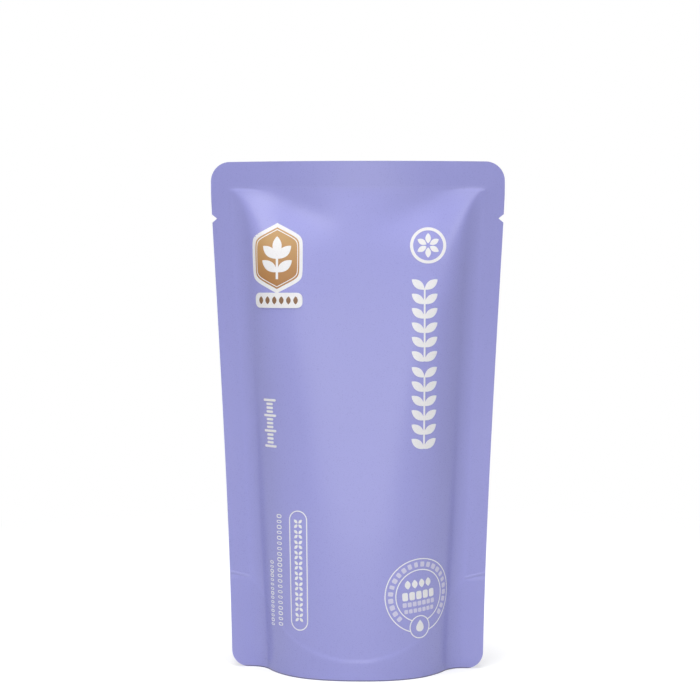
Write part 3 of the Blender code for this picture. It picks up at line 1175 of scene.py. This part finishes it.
def print_ink(name):
    """The white, gold, pale or brown ink, made once."""
    finish = bpy.context.scene.pouch_finish
    looks = {"white": (finish.white_top, finish.white_base, finish.roughness),
             "gold": (finish.gold_top, finish.gold_base, finish.gold_roughness),
             "pale": (finish.white_base, finish.pale, finish.roughness),
             "brown": (finish.gold_base, finish.brown, finish.gold_roughness)}
    return bpy.data.materials.get(name + "_ink") or ink_material(name + "_ink", *looks[name])


# Operators


class POUCH_OT_badge(bpy.types.Operator):
    """Print the gold badge with its sprig, and the white plate under it"""

    bl_idname = "pouch.badge"
    bl_label = "Badge"

    def execute(self, context):
        art = context.scene.pouch_print
        fields = ((0.0, "white"), (art.badge_rim, "gold"), (art.badge_line, "white"),
                  (art.badge_field, "gold"))
        for layer, (inset, ink) in enumerate(fields, 1):
            profile = badge_profile(art.badge_width - 2 * inset,
                                    art.badge_height - 2 * BADGE_TIP_INSET * inset)
            print_shape(
                "badge_field_%d" % layer,
                lambda drawing, shape=profile: fill(drawing, shape, art.badge, rows=40, columns=20),
                ink, layer,
            )
        over = len(fields) + 1
        print_shape("badge_sprig", draw_sprig, "white", over)
        plate = bar_profile(art.plate_width, art.plate_height, art.plate_height * PLATE_CORNER)
        print_shape(
            "badge_plate", lambda drawing: fill(drawing, plate, art.plate, rows=12, columns=24),
            "white", over,
        )
        middle = Vector(art.plate)
        reach = Vector((art.plate_width * PLATE_SPREAD, 0))
        length, width = (art.plate_height * share for share in PLATE_PETAL)
        petal = petal_profile(length, width)
        print_marks(
            "plate_petals",
            lambda drawing: fill(drawing, petal, (0, -length / 2), rows=10, columns=4),
            [middle - reach, middle + reach], PLATE_PETALS, "brown", over + 1,
        )
        return {"FINISHED"}


def draw_sprig(drawing):
    """A stem with a leaf at its tip and two pairs beside it."""
    art = bpy.context.scene.pouch_print
    foot = Vector(art.badge) - Vector((0, art.badge_height * SPRIG_FOOT))
    stem = Vector((0, art.badge_height * SPRIG_STEM))
    leaf = petal_profile(art.badge_height * SPRIG_LEAF[0], art.badge_width * SPRIG_LEAF[1])
    line_along(drawing, straight_points(foot, foot + stem, 8), art.sprig_line)
    fill(drawing, leaf, foot + stem)
    for share, turn in SPRIG_PAIRS:
        for side in (-1, 1):
            fill(drawing, leaf, foot + stem * share, side * math.radians(turn))


class POUCH_OT_flower(bpy.types.Operator):
    """Print the flower in its ring"""

    bl_idname = "pouch.flower"
    bl_label = "Flower in a ring"

    def execute(self, context):
        art = context.scene.pouch_print

        def draw(drawing):
            ring = arc_points(art.flower, art.flower_radius, count=72)
            line_along(drawing, ring, art.flower_line, closed=True)
            petal = petal_profile(*(art.flower_radius * share for share in FLOWER_PETAL))
            fill_petals(drawing, petal, art.flower, art.flower_radius * FLOWER_EYE,
                        FLOWER_PETALS, 0.0, rows=12, columns=4)

        print_shape("ringed_flower", draw, "white")
        return {"FINISHED"}


class POUCH_OT_garland(bpy.types.Operator):
    """Print the two upright runs of leaves, each on a stem"""

    bl_idname = "pouch.garland"
    bl_label = "Garland"

    def execute(self, context):
        art = context.scene.pouch_print
        leaf = petal_profile(art.leaf_length, art.leaf_width)

        def draw_pair(drawing):
            for side in (-1, 1):
                turn = -math.pi / 2 + side * LEAF_TURN
                fill(drawing, leaf, turn=turn, rows=14, columns=4)

        for part in range(2):
            top = Vector(art.garland) - Vector((0, part * (art.garland_length + art.garland_gap)))
            foot = top - Vector((0, art.garland_length))
            rise = Vector((0, art.leaf_length * math.cos(LEAF_TURN)))
            print_marks("garland_leaves_%d" % part, draw_pair, [foot, top - rise],
                        GARLAND_PAIRS, "white")
            stem = straight_points(foot, top - rise, 30)
            print_shape("garland_stem_%d" % part,
                        lambda drawing: line_along(drawing, stem, art.stem_line), "white", 2)
        return {"FINISHED"}


class POUCH_OT_gauge(bpy.types.Operator):
    """Print the fill gauge: a run of ticks, every fourth one longer"""

    bl_idname = "pouch.gauge"
    bl_label = "Fill gauge"

    def execute(self, context):
        art = context.scene.pouch_print
        middle = Vector(art.gauge)
        reach = Vector((0, art.gauge_height / 2))
        for layer, (name, (share, count)) in enumerate(GAUGE_TICKS.items(), 1):
            tick = bar_profile(art.gauge_tick * share, art.gauge_line, art.gauge_round)
            print_marks(
                "gauge_ticks_" + name,
                lambda drawing: fill(drawing, tick, turn=math.pi / 2, rows=6, columns=8),
                [middle - reach, middle + reach], count, "white", layer,
            )
        return {"FINISHED"}


class POUCH_OT_captions(bpy.types.Operator):
    """Print the capsule with its blossoms, and the lines of loops beside it"""

    bl_idname = "pouch.captions"
    bl_label = "Captions"

    def execute(self, context):
        art = context.scene.pouch_print
        turn = art.capsule_turn
        outline = stadium_points(art.capsule, art.capsule_width, art.capsule_height, turn)
        print_shape(
            "capsule_line",
            lambda drawing: line_along(drawing, outline, art.fine_line, closed=True), "white",
        )
        middle = Vector(art.capsule)
        reach = upward(turn) * (art.capsule_height / 2 - art.capsule_width * CAPSULE_END)
        print_marks("capsule_blossoms", draw_blossom, [middle + reach, middle - reach],
                    CAPSULE_BLOSSOMS, "white")
        for key, count, seed in LOOP_LINES:
            middle = Vector(getattr(art, key))
            reach = upward(-getattr(art, key + "_turn")) * getattr(art, key + "_height") / 2
            size = getattr(art, key + "_loop")
            loop = stadium_points((0, 0), size * LOOP_WIDTH, size, 0.0)
            print_marks(
                key + "_loops",
                lambda drawing: line_along(drawing, loop, art.fine_line, closed=True),
                [middle + reach, middle - reach], count, "white",
                shortest=LOOP_SHORTEST, seed=seed,
            )
        return {"FINISHED"}


def draw_blossom(drawing):
    """Four small petals about a point."""
    art = bpy.context.scene.pouch_print
    petal = petal_profile(art.blossom_petal, art.blossom_width)
    fill_petals(drawing, petal, (0, 0), art.blossom_eye, BLOSSOM_PETALS, math.pi / 4,
                rows=8, columns=2)


class POUCH_OT_stamp(bpy.types.Operator):
    """Print the round stamp: rings, a run of squares, a drop, a row of leaves and rows of bars"""

    bl_idname = "pouch.stamp"
    bl_label = "Stamp"

    def execute(self, context):
        art = context.scene.pouch_print
        middle = Vector(art.stamp)
        mid_radius = (art.stamp_radius + art.stamp_inner) / 2
        low = middle - Vector((0, mid_radius))

        def draw_rings(drawing):
            for radius in (art.stamp_radius, art.stamp_inner):
                free = gap_angle(radius, (low - middle).length, art.drop_radius)
                start = -math.pi / 2 + free
                ring = arc_points(middle, radius, start, 2 * math.pi - 2 * free)
                line_along(drawing, ring, art.fine_line)
            small = arc_points(low, art.drop_radius, count=48)
            line_along(drawing, small, art.fine_line, closed=True)
            drop = drop_profile(art.drop_length, art.drop_width)
            fill(drawing, drop, low, rows=14, columns=6)

        print_shape("stamp_rings", draw_rings, "white")
        side = art.stamp_square
        square = bar_profile(side, side, side * CELL_CORNER)
        print_marks(
            "stamp_squares", lambda drawing: fill(drawing, square, rows=6, columns=3),
            arc_points(middle, mid_radius, *STAMP_RUN), STAMP_SQUARES, "pale",
            shortest=SQUARE_SHORTEST, seed=SQUARE_SEED,
        )
        tilt = Matrix.Rotation(STAMP_TILT, 2)
        for i, (rise, size, count, width, ink) in enumerate(STAMP_ROWS):
            reach = (width - width / count) / 2
            start = middle + tilt @ Vector((STAMP_SHIFT - reach, rise))
            end = middle + tilt @ Vector((STAMP_SHIFT + reach, rise))
            across = min(size, width / count * CELL_WIDTH)

            def draw_cell(drawing):
                if i == 0:
                    leaf = petal_profile(size, across)
                    fill(drawing, leaf, (0, -size / 2), rows=12, columns=4)
                else:
                    bar = bar_profile(across, size, size * CELL_CORNER)
                    fill(drawing, bar, rows=8, columns=3)

            print_marks("stamp_row_%d" % i, draw_cell, [start, end], count, ink)
        return {"FINISHED"}


def gap_angle(radius, distance, reach):
    """Half the angle of a ring that a small circle on it covers."""
    share = (radius**2 + distance**2 - reach**2) / (2 * radius * distance)
    return math.acos(max(min(share, 1.0), -1.0))


class POUCH_OT_film(bpy.types.Operator):
    """Make the filled film of the pouch, with its seals and its gusseted foot"""

    bl_idname = "pouch.film"
    bl_label = "Filled film"

    def execute(self, context):
        values = {**values_of(context.scene.pouch_form), **values_of(context.scene.pouch_mesh),
                  "Material": film_material()}
        piece = baked("pouch_film", film_tree(), values)
        piece.data.set_sharp_from_angle(angle=FILM_EDGE)
        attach(piece, "root")
        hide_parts("pouch")
        return {"FINISHED"}


class POUCH_OT_stage(bpy.types.Operator):
    """Add the floor, the soft lights and the camera"""

    bl_idname = "pouch.stage"
    bl_label = "Stage"

    def execute(self, context):
        stage = context.scene.pouch_stage
        make_floor(stage)
        make_world(context.scene, stage)
        aim = Vector(stage.lamp_aim)
        for name, (turn, rise, size, power) in LAMPS.items():
            place = aim + lamp_way(turn, rise) * stage.lamp_distance
            area_light(name, place, aim, getattr(stage, size), getattr(stage, power))
        camera = bpy.data.cameras.new("camera")
        camera.lens = stage.lens
        camera.sensor_width = SENSOR_WIDTH
        camera.clip_start = NEAREST_SEEN
        seen = bpy.data.objects.new("camera", camera)
        seen.location = stage.camera_place
        look = Vector(stage.camera_aim) - Vector(stage.camera_place)
        seen.rotation_euler = look.to_track_quat("-Z", "Y").to_euler()
        context.scene.collection.objects.link(seen)
        context.scene.camera = seen
        context.scene.view_settings.view_transform = "Standard"
        return {"FINISHED"}


def make_floor(stage):
    """A broad white floor that keeps the pouch's shadow, and is plain white far from it."""
    mesh = bpy.data.meshes.new("floor")
    drawing = bmesh.new()
    bmesh.ops.create_grid(drawing, x_segments=1, y_segments=1, size=stage.floor_size)
    drawing.to_mesh(mesh)
    drawing.free()
    floor = bpy.data.objects.new("floor", mesh)
    bpy.context.scene.collection.objects.link(floor)
    made, tree, shader = new_material("white_floor")
    shader.inputs["Base Color"].default_value = stage.floor_colour
    shader.inputs["Roughness"].default_value = 1.0
    shader.inputs["Specular IOR Level"].default_value = 0.0
    seen = light_path(tree)
    spot = tree.nodes.new("ShaderNodeTexCoord").outputs["Object"]
    reach = add_node(tree, "ShaderNodeVectorMath", {0: spot}, operation="LENGTH")
    away = Field(tree, reach.outputs["Value"])
    glow = add_node(tree, "ShaderNodeEmission", {"Strength": seen * stage.floor_glow})
    both = tree.nodes.new("ShaderNodeAddShader")
    tree.links.new(shader.outputs[0], both.inputs[0])
    tree.links.new(glow.outputs[0], both.inputs[1])
    plain = add_node(tree, "ShaderNodeEmission", {"Strength": 1.0})
    share = away.eased(stage.shadow_reach * FLOOR_FADE_START, stage.shadow_reach) * seen
    final = add_node(tree, "ShaderNodeMixShader",
                     {0: share, 1: both.outputs[0], 2: plain.outputs[0]})
    tree.links.new(final.outputs[0], tree.nodes["Material Output"].inputs["Surface"])
    mesh.materials.append(made)


def light_path(tree):
    """1 for what the camera sees, directly or in a gloss, and 0 for what lights the object."""
    path = tree.nodes.new("ShaderNodeLightPath")
    rays = [Field(tree, path.outputs["Is %s Ray" % kind])
            for kind in ("Camera", "Glossy", "Transmission")]
    return rays[0].most(rays[1]).most(rays[2])


def make_world(scene, stage):
    """Even light from all round, which the camera sees as white."""
    world = bpy.data.worlds.new("soft_room")
    world.use_nodes = True
    scene.world = world
    tree = world.node_tree
    path = tree.nodes.new("ShaderNodeLightPath")
    seen = Field(tree, path.outputs["Is Camera Ray"])
    feed(tree, blend(stage.world, 1.0, seen), tree.nodes["Background"].inputs["Strength"])
    tree.nodes["Background"].inputs["Color"].default_value = WHITE


def lamp_way(turn, rise):
    """The way to a lamp, from its turn round the pouch from the front and its rise."""
    around = Matrix.Rotation(math.radians(turn), 3, "Z")
    upwards = Matrix.Rotation(math.radians(-rise), 3, "X")
    return around @ upwards @ Vector((0, -1, 0))


def area_light(name, place, aim, size, power):
    """A square soft light at a place, turned to a point."""
    light = bpy.data.lights.new(name, "AREA")
    light.size = size
    light.energy = power
    lamp = bpy.data.objects.new(name, light)
    lamp.location = place
    lamp.rotation_euler = (Vector(aim) - Vector(place)).to_track_quat("-Z", "Y").to_euler()
    bpy.context.scene.collection.objects.link(lamp)


class POUCH_PT_panel(bpy.types.Panel):
    """Lists what makes the pouch"""

    bl_label = "Pouch"
    bl_space_type = "VIEW_3D"
    bl_region_type = "UI"
    bl_category = "Pouch"

    def draw(self, context):
        for maker in OPERATORS:
            self.layout.operator(maker.bl_idname)
        for name, group in GROUPS.items():
            for key in group.__annotations__:
                self.layout.prop(getattr(context.scene, name), key)


GROUPS = {
    "pouch_form": PouchForm,
    "pouch_mesh": PouchMesh,
    "pouch_finish": PouchFinish,
    "pouch_print": PouchPrint,
    "pouch_stage": PouchStage,
}
OPERATORS = (
    POUCH_OT_film,
    POUCH_OT_badge,
    POUCH_OT_flower,
    POUCH_OT_garland,
    POUCH_OT_gauge,
    POUCH_OT_captions,
    POUCH_OT_stamp,
    POUCH_OT_stage,
)


def register():
    for name, group in GROUPS.items():
        bpy.utils.register_class(group)
        setattr(bpy.types.Scene, name, PointerProperty(type=group))
    for maker in OPERATORS:
        bpy.utils.register_class(maker)
    bpy.utils.register_class(POUCH_PT_panel)


def unregister():
    bpy.utils.unregister_class(POUCH_PT_panel)
    for maker in reversed(OPERATORS):
        bpy.utils.unregister_class(maker)
    for name, group in reversed(GROUPS.items()):
        delattr(bpy.types.Scene, name)
        bpy.utils.unregister_class(group)


def main():
    register()
    bpy.ops.pouch.film()
    bpy.ops.pouch.badge()
    bpy.ops.pouch.flower()
    bpy.ops.pouch.garland()
    bpy.ops.pouch.gauge()
    bpy.ops.pouch.captions()
    bpy.ops.pouch.stamp()
    bpy.ops.pouch.stage()
    bpy.context.view_layer.update()


if __name__ == "__main__":
    main()
